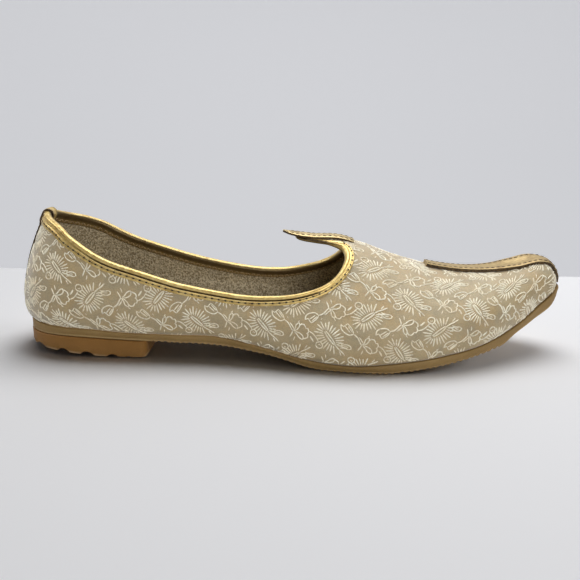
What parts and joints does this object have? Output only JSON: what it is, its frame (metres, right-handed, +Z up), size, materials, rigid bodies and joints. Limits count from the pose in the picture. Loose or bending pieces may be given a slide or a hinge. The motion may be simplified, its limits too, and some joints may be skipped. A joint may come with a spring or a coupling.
{
  "type": "mojari shoe",
  "caption": "Slip-on brocade dress shoe for the right foot, with a low open collar, a pointed tongue, a turned-up pointed toe, gold trim, a low heel block and a flat rubber sole.",
  "frame": {"origin": "on the floor, under the middle of the shoe's bounding box", "axes": "+X towards the toe, +Y towards the inner side of the foot, +Z up"},
  "size_m": [0.3024, 0.0942, 0.0771],
  "materials": {
    "outsole_rubber": "matt tan rubber",
    "heel_rubber": "matt brown rubber",
    "insole_cloth": "dull lining cloth",
    "brocade": "woven brocade with raised pale thread",
    "collar_gold": "gold foil leather",
    "tongue_gold": "gold foil leather",
    "toe_gold": "pale gold leather",
    "back_gold": "gold foil leather"
  },
  "bodies": {
    "root": {"outsole": "outsole_rubber", "heel": "heel_rubber", "insole": "insole_cloth", "upper": "brocade", "collar_binding": "collar_gold", "tongue_strap": "tongue_gold", "toe_strap": "toe_gold", "back_strip": "back_gold"}
  },
  "joints": []
}
